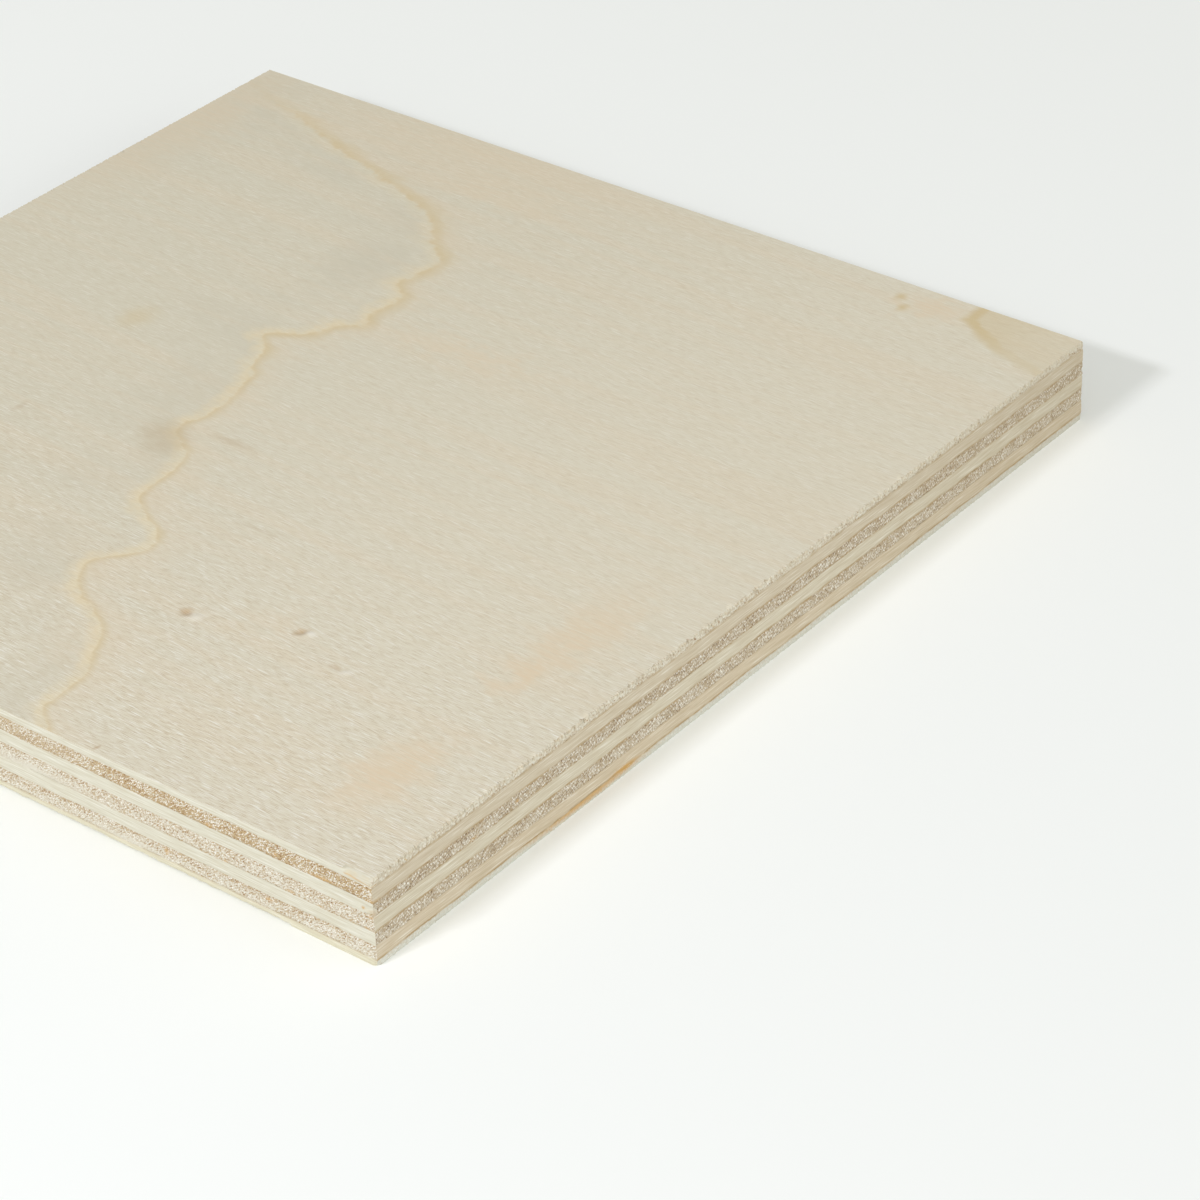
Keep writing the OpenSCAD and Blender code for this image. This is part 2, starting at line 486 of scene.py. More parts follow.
@shared_group
def cut_pores():
    """Fibres that the saw cut across: how torn they are, deep dots, white tufts and a broad mottle."""
    inputs = (("Flat", VECTOR), ("Size", FLOAT), ("Seed", FLOAT))
    outputs = (("Tear", FLOAT), ("Dot", FLOAT), ("Fleck", FLOAT), ("Mottle", FLOAT))
    group, t, given, out = new_group("Cut pores", SHADER, inputs, outputs)
    moved = t.vector("ADD", given["Flat"], t.joined(given["Seed"], given["Seed"], 0.0))
    lean = (0.0, 0.0, math.radians(32))
    stretch = (1.7, 0.85, 1.0)
    turned = {"Vector": moved, "Rotation": lean, "Scale": t.scaled(stretch, given["Size"])}
    leaning = t.add("ShaderNodeMapping", turned, vector_type="TEXTURE").outputs["Vector"]
    t.put(out["Tear"], t.noise(leaning, 2.0, 0.6, 0.7))
    near, chance = t.cells(leaning, 0.75)
    t.put(out["Dot"], t.math("MULTIPLY", t.step(near, 0.5, 0.15), t.step(chance, 0.58, 0.75)))
    t.put(out["Fleck"], t.math("MULTIPLY", t.step(near, 0.55, 0.15), t.step(chance, 0.38, 0.22)))
    t.put(out["Mottle"], t.noise(t.vector("MULTIPLY", moved, (0.28, 0.9, 0.0)), 1.0))
    return group


@shared_group
def glue_line():
    """Broken dark lines along a ply's lower and upper border, where it meets the next veneers."""
    inputs = (("Low", FLOAT), ("High", FLOAT), ("Wall", VECTOR), ("Tear", FLOAT))
    outputs = (("Low line", FLOAT), ("High line", FLOAT))
    group, t, given, out = new_group("Glue line", SHADER, inputs, outputs)
    breaks = t.noise(t.vector("MULTIPLY", given["Wall"], (0.3, 1.0, 0.0)), 2.0, 0.6)
    broken = t.step(breaks, 0.35, 0.6, 0.3, 1.0)
    ragged = t.math("ADD", given["Tear"], 0.5)
    widths = {"Low": 0.42, "High": 0.26}
    for side, width in widths.items():
        line = t.step(given[side], t.math("MULTIPLY", ragged, width), 0.0)
        t.put(out[f"{side} line"], t.math("MULTIPLY", broken, line))
    return group


@shared_group
def growth_line():
    """The face's growth line, the cream wood left of it, the warm wood right of it, and the way off it."""
    outputs = (("Gold", FLOAT), ("Cream", FLOAT), ("Glow", FLOAT), ("Offset", FLOAT))
    group, t, given, out = new_group("Growth line", SHADER, (("Place", VECTOR),), outputs)
    x, y, z = t.parts(given["Place"])
    tremor = t.math("SUBTRACT", t.noise(given["Place"], 2.0, 0.6, 0.4), 0.5)
    span = 2 * max(HALF_LENGTH, HALF_WIDTH) * PER_MM
    nudge, glow_width = 0.8, 7.0

    def path_at(shift):
        share = t.math("ADD", t.math("DIVIDE", t.math("ADD", y, shift), span), 0.5)
        node = t.add("ShaderNodeFloatCurve", {"Value": share})
        curve = node.mapping.curves[0]
        marks = sorted((py / span + 0.5, px / span + 0.5) for px, py in GROWTH_LINE)
        node.mapping.use_clip = False
        for _ in marks[2:]:
            curve.points.new(0.5, 0.5)
        for point, mark in zip(curve.points, marks):
            point.location = mark
            point.handle_type = "AUTO_CLAMPED"
        node.mapping.update()
        return t.math("MULTIPLY", t.math("SUBTRACT", node.outputs[0], 0.5), span)

    slope = t.math("DIVIDE", t.math("SUBTRACT", path_at(nudge), path_at(-nudge)), 2 * nudge)
    steep = t.math("SQRT", t.math("MULTIPLY_ADD", slope, slope, 1.0))
    offset = t.math("DIVIDE", t.math("SUBTRACT", x, path_at(0.0)), steep)
    offset = t.math("MULTIPLY_ADD", tremor, t.step(y, -20.0, 5.0, 1.1, 1.9), offset)
    far = t.step(y, -30.0, 40.0)
    width = t.between(far, 0.55, 1.15)
    fade = t.step(x, -72.0, -50.0, 0.25, 1.0)
    patchy = t.math("MULTIPLY", fade, t.step(tremor, -0.2, 0.15, 0.65, 1.1))
    rise = t.step(offset, t.math("MULTIPLY", width, -0.5), t.math("MULTIPLY", width, 0.3))
    fall = t.step(offset, t.math("MULTIPLY", width, 2.4), t.math("MULTIPLY", width, 0.3))
    gold = t.math("MULTIPLY", t.math("MULTIPLY", rise, fall), t.between(far, 0.46, 0.55))
    t.put(out["Gold"], t.math("MULTIPLY", gold, patchy))
    light = t.math("MULTIPLY", t.step(offset, t.between(far, -2.6, -3.4), -0.3), t.step(offset, width, -0.2))
    strength = t.math("MULTIPLY", patchy, t.step(y, 55.0, 25.0, 0.12, 0.42))
    t.put(out["Cream"], t.math("MULTIPLY", light, strength))
    t.put(out["Glow"], t.math("MULTIPLY", t.step(offset, glow_width, 0.3), rise))
    t.put(out["Offset"], offset)
    return group


def new_material(name):
    """A node material with its shader, and the tree to build in."""
    material = bpy.data.materials.new(name)
    material.use_nodes = True
    tree = Tree(material.node_tree)
    shader = material.node_tree.nodes["Principled BSDF"]
    shader.inputs["Specular IOR Level"].default_value = 0.3
    return material, tree, shader.inputs


def attribute(t, name):
    return t.add("ShaderNodeAttribute", attribute_name=name).outputs["Fac"]


def spots_mask(t, place, spots):
    """How strongly soft spots cover a place: each has a middle, a reach and a strength, in mm."""
    mask = 0.0
    for middle, reach, strength in spots:
        scale = tuple(1 / size for size in reach)
        shift = tuple(-mid / size for mid, size in zip(middle, reach))
        offset = t.vector("MULTIPLY_ADD", place, scale, shift)
        away = t.add("ShaderNodeVectorMath", {0: offset}, operation="LENGTH").outputs["Value"]
        mask = t.math("MAXIMUM", t.step(away, 1.0, 0.0, 0.0, strength), mask)
    return mask


def sawn_wood(t, place, node, colours):
    """Colour of a ply's sawn walls, with painted shade in their hollows and towards the rear of the right
    wall.
    """
    look = LOOKS[node]
    seed = COLOUR_SEED_STEP * sorted(LOOKS).index(node)
    roles = ("long", "long_streak", "end", "end_mid", "end_pore")
    shade = {role: getattr(colours, look[role]) for role in roles}
    fibres = t.group(fibre_streaks(), {"Flat": place["Wall"], "Length": 5.0, "Width": 0.17, "Seed": seed})
    pores = t.group(cut_pores(), {"Flat": place["Wall"], "Size": look["grain"], "Seed": seed})

    streak = t.step(fibres["Streak"], 0.46, 0.72, 0.0, look["streak"])
    long_grain = t.mix(streak, shade["long"], shade["long_streak"])
    long_grain = t.mix(t.step(fibres["Streak"], 0.46, 0.25, 0.0, 0.45), long_grain, colours.fleck)

    low, high = (corner.z * PER_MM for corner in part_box(node))
    level = t.math("DIVIDE", t.math("SUBTRACT", place["Up"], low), high - low)
    density = t.between(level, look["torn_low"], look["torn_high"])
    density = t.math("MULTIPLY", density, t.step(pores["Mottle"], 0.35, 0.65, 0.7, 1.15))
    torn = t.math("SUBTRACT", pores["Tear"], t.math("MULTIPLY_ADD", density, -0.26, 0.66))
    end_grain = t.mix(t.step(torn, -0.1, 0.09, 0.0, 0.95), shade["end"], shade["end_mid"])
    deep = t.math("MULTIPLY", pores["Dot"], t.step(torn, -0.06, 0.1, 0.0, look["dots"]))
    end_grain = t.mix(deep, end_grain, shade["end_pore"])
    end_grain = t.mix(t.math("MULTIPLY", pores["Fleck"], look["fleck"]), end_grain, colours.fleck)
    # Painted shade: the end grain is darkened towards the pore colour where its relief is pushed in
    hollow = t.step(attribute(t, "relief"), -0.1, -0.9, 0.0, 0.3)
    end_grain = t.mix(t.math("MULTIPLY", hollow, density), end_grain, shade["end_pore"])
    colour = t.mix(place["End"], long_grain, end_grain)

    rims = {"Low": attribute(t, "rim_low"), "High": attribute(t, "rim_high")}
    lines = t.group(glue_line(), {**rims, "Wall": place["Wall"], "Tear": pores["Tear"]})
    for side in rims:
        strength = t.between(place["On x"], *(float(level) for level in look[f"glue_{side.lower()}"]))
        colour = t.mix(t.math("MULTIPLY", lines[f"{side} line"], strength), colour, colours.glue)
    x, y, z = t.parts(place["Place"])
    # Painted shade: the right wall darkens towards its rear end, where the lamp's light falls off
    right_skin = 0.8
    on_right = t.math("GREATER_THAN", x, HALF_LENGTH * PER_MM - right_skin)
    far_shade = t.math("MULTIPLY", t.step(y, -5.0, 75.0, 0.0, 0.24), on_right)
    colour = t.mix(far_shade, colour, colours.painted_far_shade)
    stray = t.math("MULTIPLY", t.math("SUBTRACT", pores["Tear"], 0.5), 0.7)
    moved = t.vector("ADD", place["Place"], stray)
    for spots, paint in ((PALE_SPOTS, colours.cut_cream), (WALL_STAINS, colours.resin)):
        if node in spots:
            colour = t.mix(spots_mask(t, moved, spots[node]), colour, paint)
    return colour


def sanded_wood(t, place, colours, base, seed):
    """Colour, height and streaks of a sanded veneer: bands, streaks and fine pores along X."""
    flat = place["Place"]
    fibres = t.group(fibre_streaks(), {"Flat": flat, "Length": 9.0, "Width": 0.36, "Seed": seed})
    fine = t.group(fibre_streaks(), {"Flat": flat, "Length": 2.6, "Width": 0.15, "Seed": seed + 31.0})
    raised = t.step(t.parts(flat)[1], -75.0, 5.0, 1.0, 0.45)
    colour = t.mix(t.step(fibres["Band"], 0.4, 0.7, 0.0, 0.25), base, colours.face_warm)
    colour = t.mix(t.step(fibres["Streak"], 0.48, 0.78, 0.0, 0.17), colour, colours.face_pore)
    light = t.math("MULTIPLY", t.step(fine["Streak"], 0.48, 0.25, 0.0, 0.95), raised)
    colour = t.mix(light, colour, colours.fleck)
    open_pore = t.math("MULTIPLY", t.math("MULTIPLY", fine["Pore"], 0.8), raised)
    colour = t.mix(open_pore, colour, colours.face_pore)
    return colour, fine["Streak"], fibres["Streak"]


def sanded_face(t, place, colours):
    """Colour and height of the face, with its growth lines, clouds, stains, small marks, and painted
    highlights and shade at its dents.
    """
    x, y, z = t.parts(place["Place"])
    dull_end, bright_end = -50.0, 65.0
    base = t.mix(t.step(x, dull_end, bright_end), colours.face_dull, colours.face)
    colour, height, streak = sanded_wood(t, place, colours, base, seed=3.0)
    stray = t.math("SUBTRACT", t.noise(t.vector("MULTIPLY", place["Place"], (0.25, 0.4, 0.0)), 2.0), 0.5)
    wide_stray, near_stray = 9.0, 1.4
    wide = t.vector("ADD", place["Place"], t.math("MULTIPLY", stray, wide_stray))
    near = t.vector("ADD", place["Place"], t.math("MULTIPLY", stray, near_stray))

    line = t.group(growth_line(), {"Place": place["Place"]})
    beside = t.math("MULTIPLY", t.step(line["Offset"], 0.4, -3.0), t.step(line["Offset"], -18.0, -3.0))
    mottle = t.noise(t.vector("MULTIPLY", place["Place"], (0.05, 0.07, 0.0)), 2.0)
    beside = t.math("MULTIPLY", beside, t.step(mottle, 0.35, 0.65, 0.05, 0.4))
    beside = t.math("MAXIMUM", beside, spots_mask(t, wide, SHADE_SPOTS))
    colour = t.mix(beside, colour, colours.face_shade)
    warm = t.math("MAXIMUM", t.math("MULTIPLY", line["Glow"], 0.28), spots_mask(t, wide, WARM_SPOTS))
    colour = t.mix(t.math("MULTIPLY", warm, t.step(streak, 0.3, 0.65, 0.6, 1.1)), colour, colours.face_warm)

    inside = corner_depth(t, near)
    corner_x = t.parts(near)[0]
    arc_middle, arc_reach = 0.9, 1.9
    arc = t.step(t.math("ABSOLUTE", t.math("SUBTRACT", inside, arc_middle)), arc_reach, 0.2)
    arc = t.math("MULTIPLY", arc, t.step(corner_x, 59.5, 72.0, 0.85, 0.4))
    tanned = t.math("MULTIPLY", t.step(inside, -0.6, 1.2), t.step(corner_x, 60.0, 75.0, 0.42, 0.2))
    golden = t.math("MAXIMUM", line["Gold"], t.math("MAXIMUM", arc, tanned))
    golden = t.math("MAXIMUM", golden, spots_mask(t, near, YELLOW_SPOTS))
    colour = t.mix(line["Cream"], colour, colours.growth_light)
    colour = t.mix(golden, colour, colours.growth)
    # Smudges, painted highlights on the dents' lips, and brown marks that are partly stains and partly
    # painted shade in the dents
    for spots, paint in (
        (SMUDGES, colours.face_pore), (PAINTED_LIP_HIGHLIGHTS, colours.fleck), (MARKS_AND_DENT_SHADE, colours.mark_and_dent_shade),
    ):
        colour = t.mix(spots_mask(t, near, spots), colour, paint)
    return colour, height


def corner_depth(t, place):
    """How far a place lies inside the hook at the corner of the face, in mm."""
    beyond_sheet = 99.0
    depth = beyond_sheet
    for (start_x, start_y), (way_x, way_y) in CORNER_SIDES:
        offset = t.vector("SUBTRACT", place, (start_x, start_y, 0.0))
        inputs = {0: offset, 1: (way_x, way_y, 0.0)}
        reach = t.add("ShaderNodeVectorMath", inputs, operation="DOT_PRODUCT").outputs["Value"]
        depth = t.math("MINIMUM", reach, depth)
    return depth


def sanded_material(node, colours):
    """Wood of the sanded side of the face or the back, its fine grain in low relief."""
    material, t, shader = new_material(f"{node} sanded")
    place = t.group(grain_frame(), {"Turn": 0.0})
    if node == "face_veneer":
        colour, height = sanded_face(t, place, colours)
    else:
        colour, height, streak = sanded_wood(t, place, colours, colours.back, seed=71.0)
    bump = t.add("ShaderNodeBump", {"Strength": 0.3, "Distance": 0.05 * MM, "Height": height})
    t.put(shader["Base Color"], colour)
    t.put(shader["Normal"], bump.outputs["Normal"])
    shader["Roughness"].default_value = 0.74
    return material


def sawn_material(node, colours):
    """Wood of a ply's sawn walls, and of its chips."""
    material, t, shader = new_material(f"{node} sawn")
    place = t.group(grain_frame(), {"Turn": float(node in CROSSBANDS)})
    colour = sawn_wood(t, place, node, colours)
    if node == "upper_long_core":
        colour = t.mix(t.step(attribute(t, "chip"), 0.02, 0.2, 0.0, 0.5), colour, colours.pale)
    if node == "face_veneer":
        worn_start, worn_full = TOP - 0.6, TOP - 0.1
        worn = t.math("MULTIPLY", t.step(place["Up"], worn_start, worn_full, 0.0, 0.4), place["End"])
        chipped = t.step(attribute(t, "chip"), 0.02, 0.2, 0.0, 0.5)
        colour = t.mix(t.math("MAXIMUM", worn, chipped), colour, torn_wood(t, place, colours))
        colour = t.mix(chip_crack(t, place), colour, colours.resin)
    t.put(shader["Base Color"], colour)
    shader["Roughness"].default_value = 0.78
    return material


def chip_crack(t, place):
    """Mask of the golden crack under the chip at the near corner, which falls towards that corner."""
    x, y, z = t.parts(place["Place"])
    start = HALF_LENGTH * PER_MM - CHIP_LENGTH
    start_height = TOP - 0.54
    fall, width, run_in = 0.09, 0.13, 0.4
    front_start, front_full = (inset - HALF_WIDTH * PER_MM for inset in (1.2, 0.6))
    level = t.math("MULTIPLY_ADD", t.math("SUBTRACT", x, start), fall, t.math("SUBTRACT", z, start_height))
    crack = t.step(t.math("ABSOLUTE", level), width, 0.03, 0.0, 0.5)
    front = t.math("MULTIPLY", t.step(x, start - run_in, start), t.step(y, front_start, front_full))
    return t.math("MULTIPLY", crack, front)


def torn_wood(t, place, colours):
    """Colour of fibres that tore apart."""
    patch = t.noise(place["Place"], 1.0, 0.5, 1.6)
    return t.mix(t.step(patch, 0.35, 0.7, 0.0, 0.45), colours.face_shade, colours.growth)


def sliver_material(colours):
    """Wood of the torn slivers."""
    material, t, shader = new_material("splinter wood")
    place = t.group(grain_frame(), {"Turn": 0.0})
    shade = t.step(t.noise(place["Place"], 1.0, 0.5, 2.3), 0.45, 0.62, 0.0, 0.7)
    t.put(shader["Base Color"], t.mix(shade, torn_wood(t, place, colours), colours.cut_ochre))
    shader["Roughness"].default_value = 0.75
    return material


def kept_value(t, geometry, name, value):
    """The geometry with one more named value on its points."""
    inputs = {"Geometry": geometry, "Name": name, "Value": value}
    node = t.add("GeometryNodeStoreNamedAttribute", inputs, data_type="FLOAT", domain="POINT")
    return node.outputs["Geometry"]


def moved_by(t, geometry, offset):
    return t.add("GeometryNodeSetPosition", {"Geometry": geometry, "Offset": offset}).outputs["Geometry"]


def place_in_mm(t):
    return t.scaled(t.add("GeometryNodeInputPosition").outputs["Position"], PER_MM)


def new_geometry_group(name, values=()):
    inputs = (("Geometry", GEOMETRY), *((label, FLOAT) for label in values))
    return new_group(name, "GeometryNodeTree", inputs, (("Geometry", GEOMETRY),))


@shared_group
def sawn_relief():
    """Roughens a ply's sawn walls, crushes them at the glue lines and lets those wander; sizes in mm."""
    labels = (
        "Low", "High", "Wave low", "Wave high", "Turn", "End depth", "Long depth", "Recess", "Arris", "Seed",
    )
    group, t, given, out = new_geometry_group("Sawn relief", labels)
    place = place_in_mm(t)
    x, y, z = t.parts(place)
    skin, far, deepest = 0.001, 9.0, 0.2
    on_x = t.math("GREATER_THAN", t.math("ABSOLUTE", x), HALF_LENGTH * PER_MM - skin)
    on_y = t.math("GREATER_THAN", t.math("ABSOLUTE", y), HALF_WIDTH * PER_MM - skin)
    wall = t.math("MAXIMUM", on_x, on_y)
    out_x = t.math("MULTIPLY", t.math("SIGN", x), on_x)
    out_y = t.math("MULTIPLY", t.math("SIGN", y), on_y)

    turn = given["Turn"]
    grain = t.joined(t.between(turn, x, y), t.between(turn, y, x), t.math("ADD", z, given["Seed"]))
    rough = t.noise(t.vector("MULTIPLY", grain, (0.12, 2.3, 2.3)), 2.0, 0.65, dimensions="3D")
    mean, gain = 0.56, 3.2
    relief = t.math("MULTIPLY", t.math("SUBTRACT", rough, mean), gain)
    saw = t.noise(t.vector("MULTIPLY", place, (0.7, 0.7, 0.12)), 2.0, dimensions="3D")
    cut_across = t.math("ABSOLUTE", t.math("SUBTRACT", on_x, turn))
    depth = t.between(cut_across, given["Long depth"], given["End depth"])

    from_low = t.math("SUBTRACT", z, given["Low"])
    from_high = t.math("SUBTRACT", given["High"], z)
    glued_low = t.math("GREATER_THAN", given["Wave low"], 0.0)
    glued_high = t.math("GREATER_THAN", given["Wave high"], 0.0)
    rim_low = t.between(glued_low, far, from_low)
    rim_high = t.between(glued_high, far, from_high)
    outer = t.math("MINIMUM", t.between(glued_low, from_low, far), t.between(glued_high, from_high, far))
    crushed_width, rubbed_width = 0.3, 0.35
    rim = t.math("MINIMUM", rim_low, rim_high)
    crushed = t.math("MULTIPLY", given["Recess"], t.step(rim, crushed_width, 0.0))
    rubbed = t.math("MULTIPLY", given["Arris"], t.step(outer, rubbed_width, 0.0))
    sawn = t.math("MULTIPLY", t.math("SUBTRACT", saw, 0.5), given["Long depth"])
    push = t.math("MULTIPLY_ADD", relief, depth, sawn)
    push = t.math("MAXIMUM", t.math("SUBTRACT", t.math("SUBTRACT", push, crushed), rubbed), -deepest)

    def wave(level, amount):
        spread = t.joined(t.math("MULTIPLY", x, 0.11), t.math("MULTIPLY", y, 0.11), level)
        stray = t.math("SUBTRACT", t.noise(spread, 2.0, 0.55, dimensions="3D"), 0.5)
        return t.math("MULTIPLY", t.math("MULTIPLY", stray, 4.0), amount)

    share = t.math("DIVIDE", from_low, t.math("ADD", from_low, from_high))
    lift = t.between(share, wave(given["Low"], given["Wave low"]), wave(given["High"], given["Wave high"]))
    outward = t.scaled(t.joined(out_x, out_y, 0.0), push)
    offset = t.vector("ADD", outward, t.joined(0.0, 0.0, t.math("MULTIPLY", lift, wall)))

    kept = kept_value(t, given["Geometry"], "relief", t.math("MULTIPLY", relief, wall))
    kept = kept_value(t, kept, "rim_low", t.between(wall, far, rim_low))
    kept = kept_value(t, kept, "rim_high", t.between(wall, far, rim_high))
    t.put(out["Geometry"], moved_by(t, kept, t.scaled(offset, MM)))
    return group


def face_wear(fray_depth):
    """Geometry group for the face veneer alone: torn ends, dents and the broken near corner."""
    group, t, given, out = new_geometry_group("Face wear")
    low, high = (corner.z * PER_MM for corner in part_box("face_veneer"))
    place = place_in_mm(t)
    x, y, z = t.parts(place)
    share = t.math("DIVIDE", t.math("SUBTRACT", z, low), high - low, clamp=True)

    fray_start, fray_full = (HALF_LENGTH * PER_MM - inset for inset in (1.6, 0.25))
    on_x = t.step(t.math("ABSOLUTE", x), fray_start, fray_full)
    coarse = t.noise(t.vector("MULTIPLY", place, (0.0, 1.1, 0.4)), 1.0, dimensions="3D")
    fine = t.noise(t.vector("MULTIPLY", place, (0.0, 3.8, 1.2)), 1.0, dimensions="3D")
    tear = t.math("MULTIPLY", t.step(coarse, 0.4, 0.66, 0.35, 1.0), t.step(fine, 0.42, 0.64))
    least_y, most_y, least, hollow = 60.0, -20.0, 0.45, 1.3
    worst = t.step(y, least_y, most_y, least, 1.0)
    torn = t.math("MULTIPLY", t.math("MULTIPLY", tear, worst), t.math("POWER", share, hollow))
    inward = t.math("MULTIPLY", t.math("MULTIPLY", torn, on_x), -fray_depth * PER_MM)
    offset = t.joined(t.math("MULTIPLY", t.math("SIGN", x), inward), 0.0, 0.0)

    sink = 0.0
    for dent_x, dent_y, radius, depth in DENTS:
        away = t.vector("SUBTRACT", place, (dent_x, dent_y, high))
        reach = t.add("ShaderNodeVectorMath", {0: away}, operation="LENGTH").outputs["Value"]
        sink = t.math("ADD", t.step(reach, radius, 0.0, 0.0, depth), sink)
    offset = t.vector("SUBTRACT", offset, t.joined(0.0, 0.0, sink))
    worn = moved_by(t, given["Geometry"], t.scaled(offset, MM))

    soft, ragged_start, ragged_plane = 0.25, 0.8, 0.3
    ragged = t.noise(t.vector("MULTIPLY", place, (0.9, 2.0, 2.0)), 2.0, dimensions="3D")
    ragged = t.math("SUBTRACT", ragged, 0.5)
    start = t.math("MULTIPLY_ADD", ragged, ragged_start, HALF_LENGTH * PER_MM - CHIP_LENGTH)
    along = t.step(x, t.math("SUBTRACT", start, soft), t.math("ADD", start, soft))
    slope = (high - low - CHIP_FOOT) / CHIP_REACH
    plane = t.math("MULTIPLY_ADD", t.math("ADD", y, HALF_WIDTH * PER_MM), slope, low + CHIP_FOOT)
    plane = t.math("MULTIPLY_ADD", ragged, ragged_plane, plane)
    over = t.math("MULTIPLY", t.math("MAXIMUM", t.math("SUBTRACT", z, plane), 0.0), along)
    worn = kept_value(t, worn, "chip", over)
    t.put(out["Geometry"], moved_by(t, worn, t.joined(0.0, 0.0, t.math("MULTIPLY", over, -MM))))
    return group


@shared_group
def core_wear():
    """Geometry group for the upper core ply alone: the splinter that is out of its near corner."""
    group, t, given, out = new_geometry_group("Core wear")
    x, y, z = t.parts(place_in_mm(t))
    chip_length, chip_reach, chip_top, soft = 1.6, 0.7, 8.5, 0.3
    share_x = t.math("DIVIDE", t.math("SUBTRACT", HALF_LENGTH * PER_MM, x), chip_length)
    share_y = t.math("DIVIDE", t.math("ADD", y, HALF_WIDTH * PER_MM), chip_reach)
    missing = t.math("SUBTRACT", 1.0, t.math("ADD", share_x, share_y))
    below = t.step(z, chip_top + soft, chip_top - soft)
    missing = t.math("MULTIPLY", t.math("MAXIMUM", missing, 0.0), below)
    steep = 1 / chip_length ** 2 + 1 / chip_reach ** 2
    inward = (-1 / chip_length / steep, 1 / chip_reach / steep, 0.0)
    worn = kept_value(t, given["Geometry"], "chip", missing)
    t.put(out["Geometry"], moved_by(t, worn, t.scaled(t.scaled(inward, missing), MM)))
    return group


@shared_group
def foot_wear():
    """Geometry group for the lowest plies: the rubbed near corner and the broken lower arris in front."""
    group, t, given, out = new_geometry_group("Foot wear")
    place = place_in_mm(t)
    x, y, z = t.parts(place)
    from_right = t.math("SUBTRACT", HALF_LENGTH * PER_MM, x)
    from_corner = t.math("ADD", from_right, t.math("ADD", y, HALF_WIDTH * PER_MM))
    deepest, less_upwards, less_sideways = 0.7, 0.75, 0.9
    bite = t.math("MULTIPLY_ADD", z, -less_upwards, deepest)
    bite = t.math("MULTIPLY_ADD", from_corner, -less_sideways, bite)
    bite = t.math("MULTIPLY", t.math("MAXIMUM", bite, 0.0), 0.5)
    offset = t.joined(t.math("MULTIPLY", bite, -1.0), bite, 0.0)

    step_x, soft, lost = 61.4, 0.2, 0.35
    ragged = t.noise(t.vector("MULTIPLY", place, (0.6, 0.0, 0.0)), 2.0, dimensions="3D")
    front_start, front_full = (inset - HALF_WIDTH * PER_MM for inset in (0.8, 0.4))
    front = t.step(y, front_start, front_full)
    broken = t.math("MULTIPLY", front, t.step(x, step_x + soft, step_x - soft))
    height = t.math("MULTIPLY", ragged, 2 * lost)
    cut = t.math("MULTIPLY", t.math("MAXIMUM", t.math("SUBTRACT", height, z), 0.0), broken)
    offset = t.vector("ADD", offset, t.joined(0.0, cut, 0.0))
    t.put(out["Geometry"], moved_by(t, given["Geometry"], t.scaled(offset, MM)))
    return group


def scatter_slivers(spacing, seed):
    """Geometry group that sets many turned and scaled copies of one sliver along the face's torn ends."""
    group, t, given, out = new_geometry_group("Torn ends")
    count = int(2 * HALF_WIDTH / spacing)
    inset, depth = 0.55 * MM, 0.22 * MM
    stray_low, stray_high = (-0.2 * MM, -spacing, -0.55 * MM), (0.15 * MM, spacing, 0.12 * MM)
    tilt_side, tilt_up = 0.5, 0.4
    size_low, size_high = (0.5, 0.5, 0.6), (1.25, 1.5, 1.3)
    rows = []

    def random(low, high, step):
        inputs = {0: low, 1: high, "Seed": seed + step}
        return t.add("FunctionNodeRandomValue", inputs, data_type="FLOAT_VECTOR").outputs[0]

    for side, turn in ((1, 0.0), (-1, math.pi)):
        edge = (side * (HALF_LENGTH - inset), -HALF_WIDTH + spacing, SHEET_TOP - depth)
        line = t.add(
            "GeometryNodeMeshLine", {"Count": count, "Start Location": edge, "Offset": (0, spacing, 0)}
        ).outputs["Mesh"]
        points = moved_by(t, line, random(stray_low, stray_high, 10 * side))
        tilt_low = (-tilt_side, 0.0, turn - tilt_side)
        tilt_high = (tilt_side, tilt_up, turn + tilt_side)
        tilt = random(tilt_low, tilt_high, 20 * side)
        size = random(size_low, size_high, 30 * side)
        inputs = {"Points": points, "Instance": given["Geometry"], "Rotation": tilt, "Scale": size}
        copies = t.add("GeometryNodeInstanceOnPoints", inputs).outputs["Instances"]
        rows.append(t.add("GeometryNodeRealizeInstances", {"Geometry": copies}).outputs["Geometry"])
    joined = t.add("GeometryNodeJoinGeometry")
    for row in rows:
        t.links.new(row, joined.inputs[0])
    t.put(out["Geometry"], joined.outputs[0])
    return group


def deselect_all():
    if bpy.context.mode != "OBJECT":
        bpy.ops.object.mode_set(mode="OBJECT")
    bpy.ops.object.select_all(action="DESELECT")


def place_start(name, low, high, height):
    """Turns the primitive just added into a named sheet outline at one height, its place in its mesh."""
    piece = bpy.context.object
    piece.name = piece.data.name = name
    bpy.ops.transform.resize(value=(high.x - low.x, high.y - low.y, 1))
    bpy.ops.transform.translate(value=((low.x + high.x) / 2, (low.y + high.y) / 2, height))
    bpy.ops.object.transform_apply(location=True, rotation=True, scale=True)
    bpy.ops.object.mode_set(mode="EDIT")
    return piece


def select_edges(test):
    """Selects just the edges that pass a test."""
    bpy.ops.mesh.select_mode(type="EDGE")
    bpy.ops.mesh.select_all(action="DESELECT")
    mesh = bmesh.from_edit_mesh(bpy.context.edit_object.data)
    for edge in mesh.edges:
        if test(edge):
            edge.select_set(True)
    bmesh.update_edit_mesh(bpy.context.edit_object.data)


